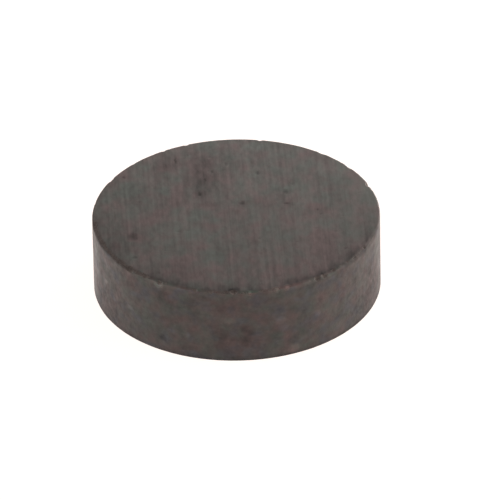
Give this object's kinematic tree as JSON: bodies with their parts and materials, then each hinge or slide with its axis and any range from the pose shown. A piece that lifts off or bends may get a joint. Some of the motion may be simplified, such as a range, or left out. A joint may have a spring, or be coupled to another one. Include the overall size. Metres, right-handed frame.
{
  "type": "disc magnet",
  "caption": "Plain round disc magnet of dark sintered ferrite with ground pole faces and a chipped upper rim, for holding, latching or sensing.",
  "frame": {"origin": "centre of the lower pole face", "axes": "+Z is the magnet's axis, from the lower pole face up through the upper one; +X and +Y lie in the lower face"},
  "size_m": [0.018, 0.018, 0.005],
  "materials": {
    "ferrite": "dark grey sintered ferrite, dull, ground on both faces and as fired on the wall"
  },
  "bodies": {
    "root": {"magnet_disc": "ferrite"}
  },
  "joints": []
}
